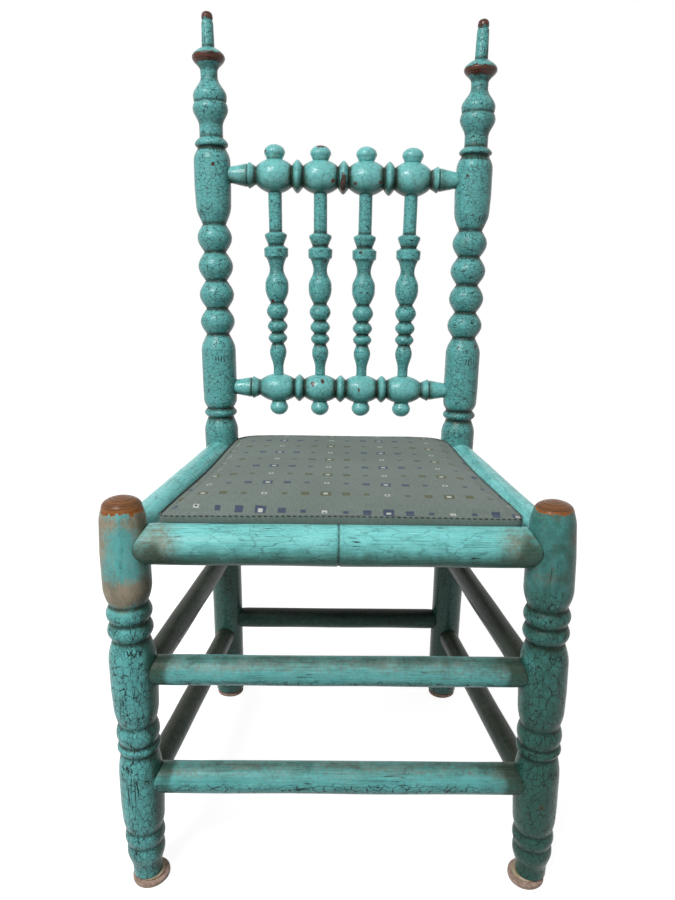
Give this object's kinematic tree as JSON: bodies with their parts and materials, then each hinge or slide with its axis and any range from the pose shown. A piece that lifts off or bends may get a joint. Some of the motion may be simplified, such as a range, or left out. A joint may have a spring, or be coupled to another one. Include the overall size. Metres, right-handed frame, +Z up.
{
  "type": "side chair",
  "caption": "Armless side chair of turned and painted wood, with finialled rear posts, a spindle back, round rails and stretchers, and a thin patterned seat pad.",
  "frame": {"origin": "on the floor, under the middle of the overall box", "axes": "+Z up, +Y from the front legs to the rear posts, +X to the right seen from the front"},
  "size_m": [0.5096, 0.4566, 1.058],
  "materials": {
    "turquoise_paint": "old crackled gloss paint over wood, worn at edges and ends",
    "glide_wood": "bare pale wood",
    "glide_felt": "pressed felt",
    "board_wood": "bare plywood",
    "pad_fabric": "flat woven fabric with a small printed pattern of squares"
  },
  "bodies": {
    "root": {"left_front_leg": "turquoise_paint", "right_front_leg": "turquoise_paint", "left_rear_post": "turquoise_paint", "right_rear_post": "turquoise_paint", "leg_plug": "turquoise_paint", "front_seat_rail": "turquoise_paint", "rear_seat_rail": "turquoise_paint", "left_seat_rail": "turquoise_paint", "right_seat_rail": "turquoise_paint", "front_upper_stretcher": "turquoise_paint", "front_lower_stretcher": "turquoise_paint", "rear_stretcher": "turquoise_paint", "left_upper_stretcher": "turquoise_paint", "left_lower_stretcher": "turquoise_paint", "right_upper_stretcher": "turquoise_paint", "right_lower_stretcher": "turquoise_paint", "back_top_rail": "turquoise_paint", "back_bottom_rail": "turquoise_paint", "spindle_1": "turquoise_paint", "spindle_2": "turquoise_paint", "spindle_3": "turquoise_paint", "spindle_4": "turquoise_paint", "top_knob_1": "turquoise_paint", "top_knob_2": "turquoise_paint", "top_knob_3": "turquoise_paint", "top_knob_4": "turquoise_paint", "bottom_knob_1": "turquoise_paint", "bottom_knob_2": "turquoise_paint", "bottom_knob_3": "turquoise_paint", "bottom_knob_4": "turquoise_paint", "left_front_glide_collar": "glide_wood", "left_rear_glide_collar": "glide_wood", "right_front_glide_collar": "glide_wood", "right_rear_glide_collar": "glide_wood", "left_front_glide_felt": "glide_felt", "left_rear_glide_felt": "glide_felt", "right_front_glide_felt": "glide_felt", "right_rear_glide_felt": "glide_felt", "seat_board": "board_wood", "seat_cushion": "pad_fabric"}
  },
  "joints": []
}
